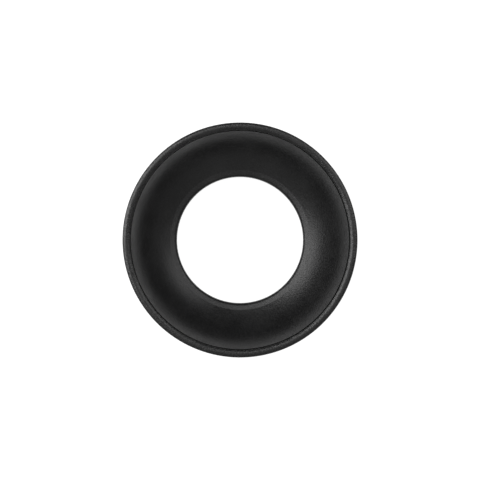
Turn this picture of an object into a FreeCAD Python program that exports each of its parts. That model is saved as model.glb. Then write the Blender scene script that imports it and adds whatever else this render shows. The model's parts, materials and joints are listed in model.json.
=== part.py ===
"""Ring-shaped corner insulator for electric fences, as a parametric FreeCAD document in millimetres.

A round hub with a large tie hole stays still on its tie wire, and a grooved ring turns on the hub so
that the fence wire can run round a corner without chafing. The ring's axis is Z and the origin is the
centre of the hole, half way through the thickness. The front of the insulator faces +Z.

Piece list: front_bowl and rear_bowl make the hub and are screwed together; groove_ring turns on the hub
on bearing_bush, between two thrust washers; two seals close the running gap behind the rims.
"""
import FreeCAD, Part
import math
import os

import Sketcher

FULL_TURN = 360
THROUGH_ALL = 1  # value of a Pocket's Type that cuts without end
TINY = 1e-6  # lengths and angles below this count as zero
EDGE_MATCH = 0.01  # how far off an edge may be, in mm, and still be the one to round

# The driving dimensions. Each becomes a cell of the sheet "Sizes", with the same name as its alias.
DIMENSIONS = {
    # Rim, hole and overall width
    "rim_radius": 35.0,
    "rim_wall": 2.25,
    "rim_crown": 1.75,
    "rim_round": 0.28,
    "half_width": 17.0,
    "bore_radius": 18.85,
    "throat_round": 1.1,
    "land_radius": 20.9,
    "land_slope": 0.25,
    # Seam between the turning ring and the hub
    "seam_gap": 0.16,
    "lip_drop": 0.8,
    "lip_round": 0.09,
    # Centre that the bowl, the back of its shell and the ring's flanks share, and the bowl's radius
    "arc_out": 11.63,
    "arc_up": 25.46,
    "bowl_arc": 22.78,
    "shell_wall": 2.7,
    "flank_gap": 0.4,
    "ring_wall": 2.2,
    "groove_round": 0.9,
    # Journal, shoulder and bearing
    "journal_radius": 25.5,
    "journal_half": 5.0,
    "shoulder_radius": 28.15,
    "run_gap": 0.05,
    "bush_wall": 1.6,
    "bush_chamfer": 0.35,
    "bush_slit": 1.2,
    "washer_wall": 0.5,
    "oil_slots": 3,
    "oil_slot_width": 1.6,
    # Seals
    "seal_cord": 1.1,
    "seal_height": 12.2,
    "seal_groove": 1.3,
    # Register that centres the hub's halves on each other
    "tongue_radius": 24.1,
    "tongue_wall": 0.8,
    "tongue_height": 1.0,
    "tongue_gap": 0.05,
    # Cored pockets between the screw bosses
    "pocket_inner": 20.7,
    "pocket_outer": 23.1,
    "pocket_depth": 2.6,
    "pocket_angle": 34,
    # Screws
    "screw_count": 6,
    "screw_circle": 22.2,
    "screw_seat": 2.8,
    "screw_head": 2.0,
    "screw_head_height": 1.4,
    "screw_head_round": 0.45,
    "screw_crest": 1.1,
    "screw_root": 0.86,
    "screw_length": 6.2,
    "screw_plain": 1.7,
    "screw_point": 0.9,
    "screw_pitch": 0.8,
    "screw_hole": 1.3,
    "screw_slot": 0.55,
    "screw_slot_reach": 1.25,
    "screw_slot_depth": 0.85,
    "head_room": 0.2,
    "pilot_room": 0.4,
}


class Size:
    """A number with the formula of sheet cells that it comes from, so that one line of code gives both."""

    def __init__(self, value, formula):
        self.value = value
        self.formula = formula

    @staticmethod
    def of(other):
        return other if isinstance(other, Size) else Size(float(other), repr(other))

    def joined(self, sign, other, value):
        return Size(value, f"({self.formula} {sign} {other.formula})")

    def __add__(self, other):
        other = Size.of(other)
        return self.joined("+", other, self.value + other.value)

    def __sub__(self, other):
        other = Size.of(other)
        return self.joined("-", other, self.value - other.value)

    def __mul__(self, other):
        other = Size.of(other)
        return self.joined("*", other, self.value * other.value)

    def __truediv__(self, other):
        other = Size.of(other)
        return self.joined("/", other, self.value / other.value)

    def root(self):
        return Size(math.sqrt(self.value), f"sqrt({self.formula})")


class Corner:
    """A corner of an outline. Where centre is given, an arc about it leads to the next corner."""

    def __init__(self, across, up, centre=None):
        self.across = Size.of(across)
        self.up = Size.of(up)
        self.centre = centre

    def point(self):
        return FreeCAD.Vector(self.across.value, self.up.value, 0)


def make_sheet(doc):
    """The sheet of driving dimensions: a name, a number and an alias in each row."""
    sheet = doc.addObject("Spreadsheet::Sheet", "Sizes")
    for row, (name, number) in enumerate(DIMENSIONS.items(), start=1):
        sheet.set(f"A{row}", name)
        sheet.set(f"B{row}", str(number))
        sheet.setAlias(f"B{row}", name)
    doc.recompute()
    return sheet


def cell(name):
    return Size(float(DIMENSIONS[name]), f"Sizes.{name}")


# ---------------------------------------------------------------- sizes that several pieces share


def arc_height(radius, across):
    """Height at which an arc about the shared centre, of that radius, is that far from the axis."""
    run = across - cell("arc_out")
    return cell("arc_up") - (radius * radius - run * run).root()


def arc_centre(side):
    return cell("arc_out"), cell("arc_up") * side


def lip_radius():
    return cell("rim_radius") - cell("rim_wall") - cell("seam_gap")


def lip_height():
    return cell("half_width") - cell("lip_drop")


def bush_bore():
    return cell("journal_radius") + cell("run_gap")


def ring_bore():
    return bush_bore() + cell("bush_wall")


def ring_bore_half():
    """Half of the ring's bore length: the journal's, less a washer and its play."""
    return cell("journal_half") - cell("washer_wall") - cell("run_gap") * 2


# ---------------------------------------------------------------- sketches and features


def make_body(doc, label):
    body = doc.addObject("PartDesign::Body", label)
    body.Label = label
    return body


def make_sketch(body, name, plane, lift=None):
    """An empty sketch on one of the body's own origin planes, lifted off it by a Size if asked."""
    support = next(f for f in body.Origin.OriginFeatures if f.Role == plane)
    sketch = body.newObject("Sketcher::SketchObject", name)
    sketch.AttachmentSupport = [(support, "")]
    sketch.MapMode = "FlatFace"
    if lift is not None:
        sketch.setExpression("AttachmentOffset.Base.z", lift.formula)
    return sketch


def drive(sketch, constraint, size):
    """Binds a sketch's constraint to the formula of a Size."""
    sketch.setExpression(f"Constraints[{constraint}]", size.formula)


def place_vertex(sketch, geometry, vertex, across, up):
    """Fixes a vertex by its two distances from the sketch's origin. A zero one puts it on an axis."""
    for kind, size, axis in (("DistanceX", across, -2), ("DistanceY", up, -1)):
        if abs(size.value) < TINY:
            sketch.addConstraint(Sketcher.Constraint("PointOnObject", geometry, vertex, axis))
        else:
            rule = Sketcher.Constraint(kind, -1, 1, geometry, vertex, size.value)
            drive(sketch, sketch.addConstraint(rule), size)


def place_centre(sketch, geometry, start, end, centre):
    """Fixes an arc's centre along the direction that its two ends leave free."""
    flat = abs(end.up.value - start.up.value) < abs(end.across.value - start.across.value)
    kind, size = ("DistanceY", centre[1]) if flat else ("DistanceX", centre[0])
    if abs(size.value) < TINY:
        sketch.addConstraint(Sketcher.Constraint("PointOnObject", geometry, 3, -1 if flat else -2))
    else:
        rule = Sketcher.Constraint(kind, -1, 1, geometry, 3, size.value)
        drive(sketch, sketch.addConstraint(rule), size)


def short_arc(start, end, centre):
    """The shorter arc between two points about a centre, and whether it runs from end to start."""
    middle = FreeCAD.Vector(centre[0].value, centre[1].value, 0)
    radius = (start - middle).Length
    first = math.atan2(start.y - middle.y, start.x - middle.x)
    last = math.atan2(end.y - middle.y, end.x - middle.x)
    turn = (last - first) % (2 * math.pi)
    backwards = turn > math.pi + TINY
    if backwards:
        first, last = last, first
    circle = Part.Circle(middle, FreeCAD.Vector(0, 0, 1), radius)
    return Part.ArcOfCircle(circle, first, last), backwards


def draw_outline(sketch, corners):
    """Draws a closed outline of lines and arcs, and binds every corner and centre to the sheet."""
    ends = []
    for number, corner in enumerate(corners):
        following = corners[(number + 1) % len(corners)]
        start, end = corner.point(), following.point()
        if corner.centre is None:
            geometry = sketch.addGeometry(Part.LineSegment(start, end), False)
            backwards = False
        else:
            arc, backwards = short_arc(start, end, corner.centre)
            geometry = sketch.addGeometry(arc, False)
        ends.append((geometry, 2, 1) if backwards else (geometry, 1, 2))
    for number, corner in enumerate(corners):
        geometry, first, last = ends[number]
        after, after_first, _ = ends[(number + 1) % len(corners)]
        sketch.addConstraint(Sketcher.Constraint("Coincident", geometry, last, after, after_first))
        place_vertex(sketch, geometry, first, corner.across, corner.up)
    for number, corner in enumerate(corners):
        if corner.centre is not None:
            following = corners[(number + 1) % len(corners)]
            place_centre(sketch, ends[number][0], corner, following, corner.centre)


def turned(body, name, corners):
    """A full revolution about Z of an outline drawn in the XZ plane."""
    sketch = make_sketch(body, name + "_outline", "XZ_Plane")
    draw_outline(sketch, corners)
    feature = body.newObject("PartDesign::Revolution", name)
    feature.Profile = sketch
    feature.ReferenceAxis = (sketch, ["V_Axis"])
    feature.Angle = FULL_TURN
    body.Document.recompute()
    return feature


def pocket(body, sketch, name, depth=None, upward=True):
    """Cuts a sketch out of the body along Z, to a depth or without end, and checks that it has cut."""
    before = body.Shape.Volume
    feature = body.newObject("PartDesign::Pocket", name)
    feature.Profile = sketch
    feature.Reversed = upward
    if depth is None:
        feature.Type = THROUGH_ALL
    else:
        feature.Length = depth.value
        feature.setExpression("Length", depth.formula)
    body.Document.recompute()
    if not body.Shape.Volume < before:
        raise RuntimeError(f"{body.Label}: {name} has cut nothing")
    return feature


def around(body, features, name, count):
    """Repeats features about the Z axis."""
    axis = next(f for f in body.Origin.OriginFeatures if f.Role == "Z_Axis")
    pattern = body.newObject("PartDesign::PolarPattern", name)
    pattern.Originals = features
    pattern.Axis = (axis, [""])
    pattern.Angle = FULL_TURN
    pattern.Occurrences = int(count.value)
    pattern.setExpression("Occurrences", count.formula)
    body.Tip = pattern
    body.Document.recompute()
    return pattern


def circle_sketch(body, name, out, radius, lift=None):
    """A sketch with one circle on the +X axis, seen along Z."""
    sketch = make_sketch(body, name, "XY_Plane", lift)
    shape = Part.Circle(FreeCAD.Vector(out.value, 0, 0), FreeCAD.Vector(0, 0, 1), radius.value)
    circle = sketch.addGeometry(shape, False)
    place_vertex(sketch, circle, 3, out, Size.of(0))
    drive(sketch, sketch.addConstraint(Sketcher.Constraint("Radius", circle, radius.value)), radius)
    return sketch


def round_edges(body, base, name, radius, spots):
    """Fillets the circular edges that lie at the given pairs of radius and height."""
    chosen = []
    for number, edge in enumerate(base.Shape.Edges, start=1):
        if isinstance(edge.Curve, Part.Circle):
            here = edge.Curve.Radius, edge.Curve.Center.z
            if any(abs(here[0] - r.value) + abs(here[1] - z.value) < EDGE_MATCH for r, z in spots):
                chosen.append(f"Edge{number}")
    if len(chosen) != len(spots):
        raise RuntimeError(f"{body.Label}: {name} found {len(chosen)} edges of {len(spots)}")
    feature = body.newObject("PartDesign::Fillet", name)
    feature.Base = (base, chosen)
    feature.Radius = radius.value
    feature.setExpression("Radius", radius.formula)
    body.Document.recompute()
    return feature


# ---------------------------------------------------------------- the hub's two halves


def bowl_corners(side, register):
    """Outline of one half of the hub. side is 1 for the front and -1 for the rear.

    It runs up the hole's wall, over the rounded throat edge, across the narrow land round the hole, up
    the bowl to the lip, down the outside past the seal's seat, along the back of the shell to the thrust
    shoulder and down the journal to the parting plane, where the corners in register make the tongue or
    its slot.
    """
    bore, rounding, bowl = cell("bore_radius"), cell("throat_round"), cell("bowl_arc")
    land, slope = cell("land_radius"), cell("land_slope")
    slant = (slope * slope + 1).root()
    land_height = arc_height(bowl, land)
    # The round meets the land where both have the same slope.
    meet_across = bore + rounding - rounding * slope / slant
    meet_up = land_height - (land - meet_across) * slope
    edge_height = meet_up - rounding / slant
    lip_rise = cell("arc_up") - lip_height()
    bowl_edge = cell("arc_out") + (bowl * bowl - lip_rise * lip_rise).root()
    shell = bowl + cell("shell_wall")
    shoulder = cell("shoulder_radius")
    seal_low = cell("seal_height") - cell("seal_groove") / 2
    seal_high = cell("seal_height") + cell("seal_groove") / 2
    corners = [
        Corner(bore, 0),
        Corner(bore, edge_height * side, (bore + rounding, edge_height * side)),
        Corner(meet_across, meet_up * side),
        Corner(land, land_height * side, arc_centre(side)),
        Corner(bowl_edge, lip_height() * side),
        Corner(lip_radius(), lip_height() * side),
        Corner(lip_radius(), seal_high * side),
        Corner(seal_seat(), seal_high * side),
        Corner(seal_seat(), seal_low * side),
        Corner(lip_radius(), seal_low * side),
        Corner(lip_radius(), arc_height(shell, lip_radius()) * side, arc_centre(side)),
        Corner(shoulder, arc_height(shell, shoulder) * side),
        Corner(shoulder, cell("journal_half") * side),
        Corner(cell("journal_radius"), cell("journal_half") * side),
        Corner(cell("journal_radius"), 0),
    ]
    return corners + register


def seal_seat():
    """Radius of the floor of the groove that holds a seal."""
    return lip_radius() + cell("seam_gap") - cell("run_gap") - cell("seal_cord")


def register_corners(room):
    """The tongue of the rear half, or with room around it the slot of the front half."""
    outer = cell("tongue_radius") + cell("tongue_wall") / 2 + room
    inner = cell("tongue_radius") - cell("tongue_wall") / 2 - room
    height = cell("tongue_height") + room
    return [Corner(outer, 0), Corner(outer, height), Corner(inner, height), Corner(inner, 0)]


def core_pockets(body, upward):
    """Pockets cored out of the joint face between the screw bosses, to keep the wall even."""
    sketch = make_sketch(body, "core_outline", "XY_Plane")
    inner, outer = cell("pocket_inner"), cell("pocket_outer")
    middle = math.radians(FULL_TURN / DIMENSIONS["screw_count"] / 2)
    half = math.radians(DIMENSIONS["pocket_angle"] / 2)
    normal, centre = FreeCAD.Vector(0, 0, 1), FreeCAD.Vector(0, 0, 0)
    arcs = []
    for size in (inner, outer):
        circle = Part.Circle(centre, normal, size.value)
        arc = Part.ArcOfCircle(circle, middle - half, middle + half)
        arcs.append(sketch.addGeometry(arc, False))
        sketch.addConstraint(Sketcher.Constraint("Coincident", arcs[-1], 3, -1, 1))
        radius = sketch.addConstraint(Sketcher.Constraint("Radius", arcs[-1], size.value))
        drive(sketch, radius, size)
    for vertex, turn in ((1, middle - half), (2, middle + half)):
        ray = FreeCAD.Vector(math.cos(turn), math.sin(turn), 0)
        side = Part.LineSegment(ray * inner.value, ray * outer.value)
        line = sketch.addGeometry(side, False)
        sketch.addConstraint(Sketcher.Constraint("Coincident", line, 1, arcs[0], vertex))
        sketch.addConstraint(Sketcher.Constraint("Coincident", line, 2, arcs[1], vertex))
        angle = sketch.addConstraint(Sketcher.Constraint("Angle", -1, 1, line, 1, turn))
        half_angle = cell("pocket_angle") / 2 * (-1 if vertex == 1 else 1)
        formula = Size.of(FULL_TURN / 2) / cell("screw_count") + half_angle
        sketch.setExpression(f"Constraints[{angle}]", f"({formula.formula}) * 1 deg")
    cut = pocket(body, sketch, "core_pocket", cell("pocket_depth"), upward)
    around(body, [cut], "core_pockets", cell("screw_count"))


def make_front_bowl(doc):
    """Front half of the hub, with blind pilot holes for the screws in its joint face."""
    body = make_body(doc, "front_bowl")
    hub = turned(body, "hub", bowl_corners(1, register_corners(cell("tongue_gap"))))
    lip = [(lip_radius(), lip_height())]
    round_edges(body, hub, "lip_round", cell("lip_round"), lip)
    core_pockets(body, upward=True)
    depth = cell("screw_length") - cell("screw_seat") + cell("pilot_room")
    pilot = circle_sketch(body, "pilot_outline", cell("screw_circle"), cell("screw_crest"))
    cut = pocket(body, pilot, "pilot_hole", depth, upward=True)
    around(body, [cut], "pilot_holes", cell("screw_count"))
    return body


def make_rear_bowl(doc):
    """Rear half of the hub, with through holes and sunk seats for the screw heads."""
    body = make_body(doc, "rear_bowl")
    hub = turned(body, "hub", bowl_corners(-1, register_corners(Size.of(0))))
    lip = [(lip_radius(), lip_height() * -1)]
    round_edges(body, hub, "lip_round", cell("lip_round"), lip)
    core_pockets(body, upward=False)
    hole = circle_sketch(body, "screw_outline", cell("screw_circle"), cell("screw_hole"))
    through = pocket(body, hole, "screw_hole", upward=False)
    around(body, [through], "screw_holes", cell("screw_count"))
    seat_radius = cell("screw_head") + cell("head_room")
    seat_lift = cell("screw_seat") * -1
    seat = circle_sketch(body, "seat_outline", cell("screw_circle"), seat_radius, seat_lift)
    sunk = pocket(body, seat, "screw_seat", upward=False)
    around(body, [sunk], "screw_seats", cell("screw_count"))
    return body


# ---------------------------------------------------------------- the ring and its bearing


def make_groove_ring(doc):
    """The ring that turns: a crowned rim at each side, a wire groove outside and flanks inside that
    follow the hub's shell at a small gap."""
    body = make_body(doc, "groove_ring")
    rim, wall = cell("rim_radius"), cell("rim_wall")
    inner = rim - wall
    crown, middle = cell("rim_crown"), rim - wall / 2
    crown_centre = cell("half_width") - crown
    crown_edge = crown_centre + (crown * crown - wall * wall / 4).root()
    flank = cell("bowl_arc") + cell("shell_wall") + cell("flank_gap")
    outside = flank + cell("ring_wall")
    recess = cell("shoulder_radius") + cell("flank_gap")
    floor = ring_bore() + cell("ring_wall")
    run = floor - cell("arc_out")
    excess = run * run + cell("arc_up") * cell("arc_up") - outside * outside
    hollow = excess / ((outside - run) * 2)  # radius of the groove's floor
    share = outside / (outside + hollow)
    meet_across = cell("arc_out") + (floor + hollow - cell("arc_out")) * share
    meet_up = cell("arc_up") - cell("arc_up") * share
    land = arc_height(outside, rim)

    def half(side):
        """Corners from the bore's end out to the groove, on one side of the middle plane."""
        return [
            Corner(ring_bore(), ring_bore_half() * side),
            Corner(recess, ring_bore_half() * side),
            Corner(recess, arc_height(flank, recess) * side, arc_centre(side)),
            Corner(inner, arc_height(flank, inner) * side),
            Corner(inner, crown_edge * side, (middle, crown_centre * side)),
            Corner(rim, crown_edge * side),
            Corner(rim, land * side, arc_centre(side)),
            Corner(meet_across, meet_up * side),
        ]

    front, rear = half(1), half(-1)
    front[-1].centre = (floor + hollow, Size.of(0))
    # The rear half is walked back from the groove to the bore, so each arc starts at its other end.
    back = [Corner(c.across, c.up, before.centre) for before, c in zip(rear[-2::-1], rear[:0:-1])]
    ring = turned(body, "ring", front + back + [rear[0]])
    lands = [(rim, land), (rim, land * -1)]
    grooved = round_edges(body, ring, "groove_round", cell("groove_round"), lands)
    crowns = [(radius, crown_edge * side) for radius in (inner, rim) for side in (1, -1)]
    round_edges(body, grooved, "rim_round", cell("rim_round"), crowns)
    return body


def make_bush(doc):
    """Plain bearing bush, pressed into the ring and slit so that it can be closed up to fit it."""
    body = make_body(doc, "bearing_bush")
    bore, outside = bush_bore(), ring_bore()
    end, cut = ring_bore_half(), cell("bush_chamfer")
    turned(
        body,
        "sleeve",
        [
            Corner(bore + cut, end * -1),
            Corner(outside - cut, end * -1),
            Corner(outside, (end - cut) * -1),
            Corner(outside, end - cut),
            Corner(outside - cut, end),
            Corner(bore + cut, end),
            Corner(bore, end - cut),
            Corner(bore, (end - cut) * -1),
        ],
    )
    slit = make_sketch(body, "slit_outline", "XY_Plane", end * -1)
    half = cell("bush_slit") / 2
    draw_outline(
        slit,
        [
            Corner(bore * -1 - cell("bush_wall") * 2, half * -1),
            Corner(bore * -1 + cell("bush_wall"), half * -1),
            Corner(bore * -1 + cell("bush_wall"), half),
            Corner(bore * -1 - cell("bush_wall") * 2, half),
        ],
    )
    pocket(body, slit, "slit", upward=True)
    return body


def make_washer(doc, label, side):
    """Thrust washer between the hub's shoulder and the ring, with open slots that hold grease."""
    body = make_body(doc, label)
    inner = cell("journal_radius") + cell("run_gap") * 2
    outer = cell("shoulder_radius") + cell("flank_gap") - cell("run_gap") * 2
    near = ring_bore_half() + cell("run_gap")
    far = near + cell("washer_wall")
    turned(
        body,
        "disc",
        [
            Corner(inner, near * side),
            Corner(outer, near * side),
            Corner(outer, far * side),
            Corner(inner, far * side),
        ],
    )
    low = near if side > 0 else far * -1
    slot = make_sketch(body, "slot_outline", "XY_Plane", low)
    width = cell("oil_slot_width")
    draw_outline(
        slot,
        [
            Corner(inner - width, width / -2),
            Corner(inner + width / 2, width / -2),
            Corner(inner + width / 2, width / 2),
            Corner(inner - width, width / 2),
        ],
    )
    cut = pocket(body, slot, "oil_slot", upward=True)
    around(body, [cut], "oil_slots", cell("oil_slots"))
    return body


def make_seal(doc, label, side):
    """Round-section rubber ring that closes the running gap behind the rim."""
    seal = doc.addObject("Part::Torus", label)
    seal.Label = label
    middle = seal_seat() + cell("seal_cord") / 2
    seal.setExpression("Radius1", middle.formula)
    seal.setExpression("Radius2", (cell("seal_cord") / 2).formula)
    seal.setExpression("Placement.Base.z", (cell("seal_height") * side).formula)
    return seal


# ---------------------------------------------------------------- the screws


def screw_corners():
    """Outline of a pan-head screw for plastic, drawn about its own axis with its point upward.

    The thread is shown as rings of the thread's own pitch.
    """
    head, seat = cell("screw_head"), cell("screw_seat") * -1
    top = seat - cell("screw_head_height")
    crown = cell("screw_head_round")
    crest, thread_root = cell("screw_crest"), cell("screw_root")
    tip = seat + cell("screw_length")
    thread_start = seat + cell("screw_plain")
    corners = [
        Corner(0, top),
        Corner(head - crown, top),
        Corner(head, top + crown),
        Corner(head, seat),
        Corner(thread_root, seat),
    ]
    threaded = cell("screw_length") - cell("screw_point") - cell("screw_plain")
    for turn in range(int(threaded.value / DIMENSIONS["screw_pitch"])):
        foot = thread_start + cell("screw_pitch") * turn
        corners.append(Corner(thread_root, foot))
        corners.append(Corner(crest, foot + cell("screw_pitch") / 2))
    corners.append(Corner(thread_root, tip - cell("screw_point")))
    corners.append(Corner(0, tip))
    return corners


def cross_corners():
    """Outline of the cross recess in the head."""
    arm, half = cell("screw_slot_reach"), cell("screw_slot") / 2
    quarter = [(arm, half), (half, half), (half, arm)]
    turns = [(1, 0), (0, 1), (-1, 0), (0, -1)]
    corners = []
    for cosine, sine in turns:
        for across, up in quarter:
            corners.append(Corner(across * cosine - up * sine, across * sine + up * cosine))
    return corners


def make_screw(doc, number):
    body = make_body(doc, f"hub_screw_{number + 1}")
    turned(body, "shank", screw_corners())
    top = (cell("screw_seat") + cell("screw_head_height")) * -1
    recess = make_sketch(body, "recess_outline", "XY_Plane", top)
    draw_outline(recess, cross_corners())
    pocket(body, recess, "recess", cell("screw_slot_depth"), upward=True)
    turn = (Size.of(FULL_TURN) / cell("screw_count") * number).formula
    circle = cell("screw_circle").formula
    body.setExpression("Placement.Base.x", f"{circle} * cos({turn} * 1 deg)")
    body.setExpression("Placement.Base.y", f"{circle} * sin({turn} * 1 deg)")
    body.setExpression("Placement.Rotation.Angle", f"{turn} * 1 deg")
    return body


# ---------------------------------------------------------------- checks and export


def check(doc, pieces):
    """Stops if any object has failed, or if a piece isn't a whole solid."""
    failed = [o.Label for o in doc.Objects if {"Invalid", "Error"} & set(o.State)]
    if failed:
        raise RuntimeError(f"these objects failed to compute: {failed}")
    for piece in pieces:
        shape = piece.Shape
        if shape.isNull() or not shape.isValid() or len(shape.Solids) != 1:
            raise RuntimeError(f"{piece.Label} isn't one valid solid")
        print(f"{piece.Label:20s} {shape.Volume:10.2f} mm3")


def main():
    doc = FreeCAD.newDocument("corner_insulator")
    make_sheet(doc)
    pieces = [
        make_front_bowl(doc),
        make_rear_bowl(doc),
        make_groove_ring(doc),
        make_bush(doc),
        make_washer(doc, "front_thrust_washer", 1),
        make_washer(doc, "rear_thrust_washer", -1),
        make_seal(doc, "front_seal", 1),
        make_seal(doc, "rear_seal", -1),
    ]
    pieces += [make_screw(doc, number) for number in range(DIMENSIONS["screw_count"])]
    doc.recompute()
    check(doc, pieces)
    os.makedirs("parts", exist_ok=True)
    for piece in pieces:
        piece.Shape.exportStep(f"parts/{piece.Label}.step")


main()
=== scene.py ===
"""Looks of the ring-shaped corner insulator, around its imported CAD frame.

The insulator lies on its rear rim, and the camera looks straight down on its front face. Everything is in
metres and in the CAD frame, with +Z along the ring's axis.
"""
import json
import math

import bpy
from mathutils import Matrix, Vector


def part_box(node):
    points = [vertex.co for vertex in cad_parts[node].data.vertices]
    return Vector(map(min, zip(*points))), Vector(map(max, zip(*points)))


MM = 0.001

# The camera is far off with a long lens, so the hole's wall is hidden, as in a catalogue picture.
CAMERA_DISTANCE = 3.0
CLIP_REACH = 4  # times the camera's distance, which takes in the whole floor
SENSOR_WIDTH = 36.0  # millimetres
RIM_SHARE_OF_FRAME = 0.49  # the rim's radius as a share of half the picture's width

# Polymer: grain of a spark-eroded mould, speckled colour and gloss, and wear on rubbed edges
GRAIN_SIZE = 0.38 * MM
HUB_GRAIN_DEPTH = 0.03 * MM
RING_GRAIN_DEPTH = 0.05 * MM
CLOUD_SIZE = 9 * MM
CLOUD_DEPTH = 0.012 * MM
EDGE_WIDTH = 0.35 * MM
DARK_SPECKLE = (0.0045, 0.0045, 0.0047)
LIGHT_SPECKLE = (0.0100, 0.0100, 0.0102)
SPECKLE_RANGE = (0.8, 1.2)  # the sum of grain and cloud noise that goes from dark to light
RUBBED = (0.018, 0.018, 0.018)
RUBBED_PATCH_SIZE = 1.8 * MM
RUBBED_PATCH_RANGE = (0.42, 0.62)  # noise that goes from unworn to worn
HUB_ROUGHNESS = (0.30, 0.41)
RING_ROUGHNESS = (0.27, 0.38)
EDGE_POLISH = -0.08  # change of roughness on rubbed edges

# An edge is where the normal, rounded over the edge's width, leans away from the face's own normal.
EDGE_SAMPLES = 6
EDGE_RANGE = (0.995, 0.85)  # cosines of that lean, from smooth face to full edge

# The part of its range that noise mostly keeps to
NOISE_RANGE = (0.3, 0.7)

# Acetal: turning marks are drawn out round the axis
TURNING_SIZE = 0.25 * MM
TURNING_SQUEEZE = (0.05, 0.05, 1)
TURNING_DEPTH = 0.01 * MM
MILKY_SIZE = 6 * MM
MILKY_DARK = (0.72, 0.70, 0.64)
MILKY_LIGHT = (0.80, 0.79, 0.74)
ACETAL_ROUGHNESS = (0.32, 0.48)

# Rubber
BLOOM_SIZE = 2.5 * MM
RUBBER_DARK = (0.010, 0.010, 0.010)
RUBBER_LIGHT = (0.022, 0.022, 0.023)
RUBBER_ROUGHNESS = (0.62, 0.78)
RUBBER_GRAIN_SIZE = 0.2 * MM
RUBBER_GRAIN_DEPTH = 0.01 * MM

# Screw steel
BRUSHING_SIZE = 0.12 * MM
BRUSHING_SQUEEZE = (1, 0.1, 1)
BRUSHING_DEPTH = 0.004 * MM
STEEL_EDGE_WIDTH = 0.12 * MM
STEEL = (0.50, 0.50, 0.49)
WORN_STEEL = (0.72, 0.72, 0.71)
STEEL_ROUGHNESS = (0.24, 0.42)

# Lights: azimuth and elevation in degrees, width and height of the panel in metres, power in watts
LIGHT_DISTANCE = 1.0
PANELS = {
    "key_panel": (162, 52, 0.80, 0.62, 6.7),
    "second_panel": (34, 50, 0.60, 0.55, 2.1),
    "weak_panel": (102, 62, 0.35, 0.25, 0.6),
}
WALL_GREY = 0.22
WALL_LEAN = 0.17  # how much lighter the wall on the -Y side is, and how much darker the one opposite
CEILING_GREY = 0.54
CEILING_LOW, CEILING_HIGH = 52, 76  # elevations in degrees between which wall turns into ceiling
FLOOR_SIZE = 6.0
FLOOR_GREY = 0.25
FLOOR_GLOW = 0.97
FLOOR_ROUGHNESS = 0.9


# ---------------------------------------------------------------- node trees

# The Mix node has sockets for every kind of data. These are the colour ones.
MIX_COLOUR_INPUTS = slice(6, 8)
MIX_COLOUR_OUTPUT = 2


class Shader:
    """A material's node tree, with short calls for adding and joining nodes."""

    def __init__(self, name):
        self.material = bpy.data.materials.new(name)
        self.material.use_nodes = True
        self.tree = self.material.node_tree
        self.surface = self.tree.nodes["Principled BSDF"]
        self.coords = self.add("ShaderNodeTexCoord").outputs["Object"]

    def add(self, kind, **settings):
        node = self.tree.nodes.new(kind)
        for name, value in settings.items():
            setattr(node, name, value)
        return node

    def join(self, source, target):
        self.tree.links.new(source, target)

    def fixed(self, **values):
        """Sets the surface's own sockets. Underscores stand for spaces."""
        for name, value in values.items():
            self.surface.inputs[name.replace("_", " ")].default_value = value

    def noise(self, size, detail=2.0, squeeze=(1, 1, 1)):
        """Noise with features of about that size in metres. A squeeze below 1 draws them out on that axis."""
        mapping = self.add("ShaderNodeMapping")
        mapping.inputs["Scale"].default_value = squeeze
        self.join(self.coords, mapping.inputs["Vector"])
        node = self.add("ShaderNodeTexNoise")
        node.inputs["Scale"].default_value = 1 / size
        node.inputs["Detail"].default_value = detail
        self.join(mapping.outputs["Vector"], node.inputs["Vector"])
        return node.outputs["Fac"]

    def cells(self, size):
        """Rounded cells of about that size in metres."""
        node = self.add("ShaderNodeTexVoronoi", feature="SMOOTH_F1")
        node.inputs["Scale"].default_value = 1 / size
        self.join(self.coords, node.inputs["Vector"])
        return node.outputs["Distance"]

    def spread(self, source, low, high, to_low=0.0, to_high=1.0):
        """Stretches the part of a value between low and high to a new range."""
        node = self.add("ShaderNodeMapRange")
        self.join(source, node.inputs["Value"])
        for name, value in (("From Min", low), ("From Max", high), ("To Min", to_low), ("To Max", to_high)):
            node.inputs[name].default_value = value
        return node.outputs["Result"]

    def maths(self, operation, first, second):
        node = self.add("ShaderNodeMath", operation=operation)
        for socket, value in zip(node.inputs, (first, second)):
            if isinstance(value, (int, float)):
                socket.default_value = value
            else:
                self.join(value, socket)
        return node.outputs["Value"]

    def mixed(self, share, first, second):
        """Mixes two colours by a share. A colour is three numbers or an output."""
        node = self.add("ShaderNodeMix", data_type="RGBA")
        self.join(share, node.inputs["Factor"])
        for socket, colour in zip(node.inputs[MIX_COLOUR_INPUTS], (first, second)):
            if isinstance(colour, tuple):
                socket.default_value = (*colour, 1)
            else:
                self.join(colour, socket)
        return node.outputs[MIX_COLOUR_OUTPUT]

    def edges(self, width):
        """1 on convex and concave edges, 0 on smooth faces."""
        bevel = self.add("ShaderNodeBevel", samples=EDGE_SAMPLES)
        bevel.inputs["Radius"].default_value = width
        normal = self.add("ShaderNodeNewGeometry").outputs["Normal"]
        dot = self.add("ShaderNodeVectorMath", operation="DOT_PRODUCT")
        self.join(bevel.outputs["Normal"], dot.inputs[0])
        self.join(normal, dot.inputs[1])
        return self.spread(dot.outputs["Value"], *EDGE_RANGE)

    def bump(self, height, depth, before=None):
        """The normal of a height times a depth in metres, laid over the normal before."""
        node = self.add("ShaderNodeBump")
        node.inputs["Strength"].default_value = 1.0
        node.inputs["Distance"].default_value = depth
        self.join(height, node.inputs["Height"])
        if before is not None:
            self.join(before, node.inputs["Normal"])
        return node.outputs["Normal"]


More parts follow.
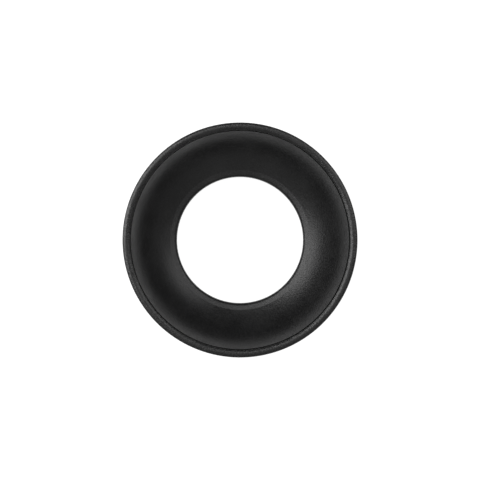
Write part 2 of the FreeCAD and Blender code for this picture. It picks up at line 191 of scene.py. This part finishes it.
def textured_polymer(name, roughness, grain_depth):
    """Black glass-filled polymer: spark grain, speckled colour and gloss, faint waves and rubbed edges."""
    shader = Shader(name)
    clouds = shader.noise(CLOUD_SIZE, detail=3)
    speckle = shader.maths("ADD", shader.noise(GRAIN_SIZE, detail=0), clouds)
    patches = shader.spread(shader.noise(RUBBED_PATCH_SIZE), *RUBBED_PATCH_RANGE)
    rub = shader.maths("MULTIPLY", shader.edges(EDGE_WIDTH), patches)
    black = shader.mixed(shader.spread(speckle, *SPECKLE_RANGE), DARK_SPECKLE, LIGHT_SPECKLE)
    shader.join(shader.mixed(rub, black, RUBBED), shader.surface.inputs["Base Color"])
    gloss = shader.spread(speckle, *SPECKLE_RANGE, *roughness)
    polish = shader.maths("MULTIPLY", rub, EDGE_POLISH)
    shader.join(shader.maths("ADD", gloss, polish), shader.surface.inputs["Roughness"])
    grain = shader.maths("ADD", shader.noise(GRAIN_SIZE), shader.cells(GRAIN_SIZE))
    waves = shader.bump(clouds, CLOUD_DEPTH)
    shader.join(shader.bump(grain, grain_depth, waves), shader.surface.inputs["Normal"])
    return shader.material


def hub_polymer(name):
    return textured_polymer(name, HUB_ROUGHNESS, HUB_GRAIN_DEPTH)


def ring_polymer(name):
    """The ring has a deeper grain than the hub, and is a little glossier."""
    return textured_polymer(name, RING_ROUGHNESS, RING_GRAIN_DEPTH)


def acetal(name):
    """Natural acetal: milky, with fine turning marks round the axis."""
    shader = Shader(name)
    marks = shader.noise(TURNING_SIZE, squeeze=TURNING_SQUEEZE)
    milky = shader.mixed(shader.noise(MILKY_SIZE), MILKY_DARK, MILKY_LIGHT)
    gloss = shader.spread(marks, *NOISE_RANGE, *ACETAL_ROUGHNESS)
    shader.join(milky, shader.surface.inputs["Base Color"])
    shader.join(gloss, shader.surface.inputs["Roughness"])
    shader.join(shader.bump(marks, TURNING_DEPTH), shader.surface.inputs["Normal"])
    return shader.material


def rubber(name):
    """Black nitrile rubber: matt, with a faint bloom."""
    shader = Shader(name)
    bloom = shader.noise(BLOOM_SIZE, detail=4)
    grain = shader.noise(RUBBER_GRAIN_SIZE)
    gloss = shader.spread(bloom, *NOISE_RANGE, *RUBBER_ROUGHNESS)
    shader.join(shader.mixed(bloom, RUBBER_DARK, RUBBER_LIGHT), shader.surface.inputs["Base Color"])
    shader.join(gloss, shader.surface.inputs["Roughness"])
    shader.join(shader.bump(grain, RUBBER_GRAIN_DEPTH), shader.surface.inputs["Normal"])
    return shader.material


def stainless(name):
    """Stainless screw steel: brushed, with brighter worn edges."""
    shader = Shader(name)
    shader.fixed(Metallic=1.0)
    brushed = shader.noise(BRUSHING_SIZE, squeeze=BRUSHING_SQUEEZE)
    worn = shader.edges(STEEL_EDGE_WIDTH)
    gloss = shader.spread(brushed, *NOISE_RANGE, *STEEL_ROUGHNESS)
    shader.join(shader.mixed(worn, STEEL, WORN_STEEL), shader.surface.inputs["Base Color"])
    shader.join(gloss, shader.surface.inputs["Roughness"])
    shader.join(shader.bump(brushed, BRUSHING_DEPTH), shader.surface.inputs["Normal"])
    return shader.material


MATERIALS = {
    "hub_polymer": hub_polymer,
    "ring_polymer": ring_polymer,
    "bush_acetal": acetal,
    "washer_acetal": acetal,
    "seal_rubber": rubber,
    "screw_steel": stainless,
}


def dress_nodes(frame):
    """Gives every CAD node the material of its slot."""
    made = {slot: make(slot + "_look") for slot, make in MATERIALS.items()}
    for entry in frame["record"]["subparts"]:
        node = frame["nodes"][entry["node"]]
        node.data.materials.clear()
        node.data.materials.append(made[entry["material_slot"]])


# ---------------------------------------------------------------- stage, lights and camera


def direction(azimuth, elevation):
    """Unit vector towards a place in the sky."""
    across = math.cos(math.radians(elevation))
    turn = math.radians(azimuth)
    return Vector((across * math.cos(turn), across * math.sin(turn), math.sin(math.radians(elevation))))


def add_object(name, data):
    thing = bpy.data.objects.new(name, data)
    bpy.context.scene.collection.objects.link(thing)
    return thing


def make_panel(name, azimuth, elevation, width, height, power):
    """A soft light that faces the insulator."""
    towards_panel = direction(azimuth, elevation)
    light = bpy.data.lights.new(name, "AREA")
    light.shape = "RECTANGLE"
    light.size = width
    light.size_y = height
    light.energy = power
    panel = add_object(name, light)
    panel.location = towards_panel * LIGHT_DISTANCE
    panel.rotation_euler = towards_panel.to_track_quat("Z", "Y").to_euler()


def make_floor(height):
    """A floor that is white mostly by its own glow, so that shadows hardly grey it."""
    half = FLOOR_SIZE / 2
    mesh = bpy.data.meshes.new("floor")
    corners = [(x, y, height) for x, y in ((-half, -half), (half, -half), (half, half), (-half, half))]
    mesh.from_pydata(corners, [], [(0, 1, 2, 3)])
    shader = Shader("floor_white")
    shader.fixed(Base_Color=(FLOOR_GREY, FLOOR_GREY, FLOOR_GREY, 1), Roughness=FLOOR_ROUGHNESS)
    shader.fixed(Emission_Color=(1, 1, 1, 1), Emission_Strength=FLOOR_GLOW)
    mesh.materials.append(shader.material)
    add_object("floor", mesh)


def make_world():
    """A grey room with a lighter ceiling, and a lighter wall on its -Y side."""
    world = bpy.data.worlds.new("studio")
    world.use_nodes = True
    tree = world.node_tree
    place = tree.nodes.new("ShaderNodeTexCoord")
    split = tree.nodes.new("ShaderNodeSeparateXYZ")
    # The wall's grey is Y times the first number, plus the second.
    wall = tree.nodes.new("ShaderNodeMath")
    wall.operation = "MULTIPLY_ADD"
    wall.inputs[1].default_value = -WALL_LEAN
    wall.inputs[2].default_value = WALL_GREY
    blend = tree.nodes.new("ShaderNodeMapRange")
    blend.interpolation_type = "SMOOTHSTEP"
    blend.inputs["From Min"].default_value = math.sin(math.radians(CEILING_LOW))
    blend.inputs["From Max"].default_value = math.sin(math.radians(CEILING_HIGH))
    blend.inputs["To Max"].default_value = CEILING_GREY
    tree.links.new(place.outputs["Generated"], split.inputs["Vector"])
    tree.links.new(split.outputs["Y"], wall.inputs[0])
    tree.links.new(split.outputs["Z"], blend.inputs["Value"])
    tree.links.new(wall.outputs["Value"], blend.inputs["To Min"])
    tree.links.new(blend.outputs["Result"], tree.nodes["Background"].inputs["Color"])
    bpy.context.scene.world = world


def make_camera(rim_radius, rim_height):
    """Looks straight down, with +X to the right and +Y up in the picture."""
    camera = bpy.data.cameras.new("camera")
    camera.sensor_width = SENSOR_WIDTH
    half_view = rim_radius / RIM_SHARE_OF_FRAME
    camera.lens = SENSOR_WIDTH / 2 * (CAMERA_DISTANCE - rim_height) / half_view
    camera.clip_end = CAMERA_DISTANCE * CLIP_REACH
    viewer = add_object("camera", camera)
    viewer.location = (0, 0, CAMERA_DISTANCE)
    bpy.context.scene.camera = viewer


# ---------------------------------------------------------------- the scene

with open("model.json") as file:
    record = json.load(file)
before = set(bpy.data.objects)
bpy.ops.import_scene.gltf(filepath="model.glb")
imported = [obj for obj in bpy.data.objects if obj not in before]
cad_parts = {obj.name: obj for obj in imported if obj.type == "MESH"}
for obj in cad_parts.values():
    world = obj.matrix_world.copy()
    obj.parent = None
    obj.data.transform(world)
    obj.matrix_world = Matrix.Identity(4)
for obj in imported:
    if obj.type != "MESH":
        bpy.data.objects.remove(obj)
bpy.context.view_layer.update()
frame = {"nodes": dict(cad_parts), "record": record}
ring_low, ring_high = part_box("groove_ring")

dress_nodes(frame)
make_floor(ring_low.z)
make_world()
for panel_name, setting in PANELS.items():
    make_panel(panel_name, *setting)
make_camera(ring_high.x, ring_high.z)
bpy.context.scene.view_settings.view_transform = "Standard"
